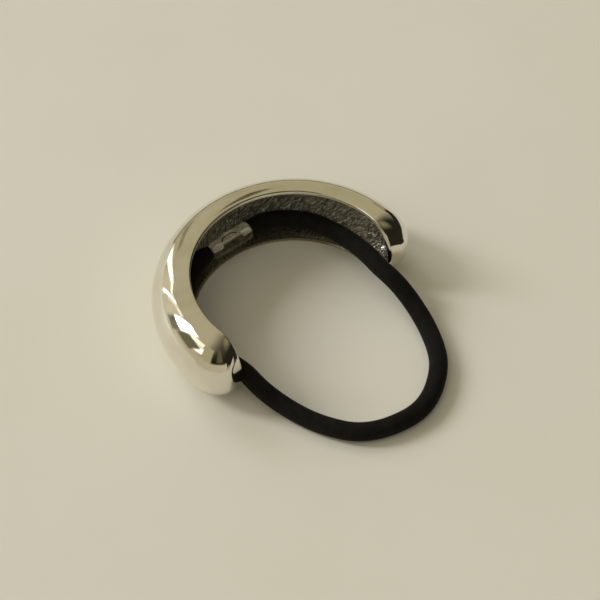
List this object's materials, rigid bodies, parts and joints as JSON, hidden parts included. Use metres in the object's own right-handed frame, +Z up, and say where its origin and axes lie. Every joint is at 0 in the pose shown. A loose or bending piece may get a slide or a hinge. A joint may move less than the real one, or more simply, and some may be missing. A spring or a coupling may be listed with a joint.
{
  "type": "ponytail cuff",
  "caption": "Polished half-ring ponytail cuff, a hollow rounded metal channel with a black elastic hair loop joined by a metal crimp.",
  "frame": {"origin": "middle of the metal cuff's footprint, on the surface that it lies on", "axes": "+Z up along the ring's axis, +Y towards the middle of the half-ring, the elastic loop lies towards -Y"},
  "size_m": [0.0604, 0.0681, 0.017],
  "materials": {
    "polished_metal": "mirror polished outside, rough cast inside",
    "braided_elastic": "matt black round braid",
    "crimp_metal": "dull satin nickel"
  },
  "bodies": {
    "root": {"cuff_shell": "polished_metal", "elastic_loop": "braided_elastic", "elastic_crimp": "crimp_metal"}
  },
  "joints": []
}
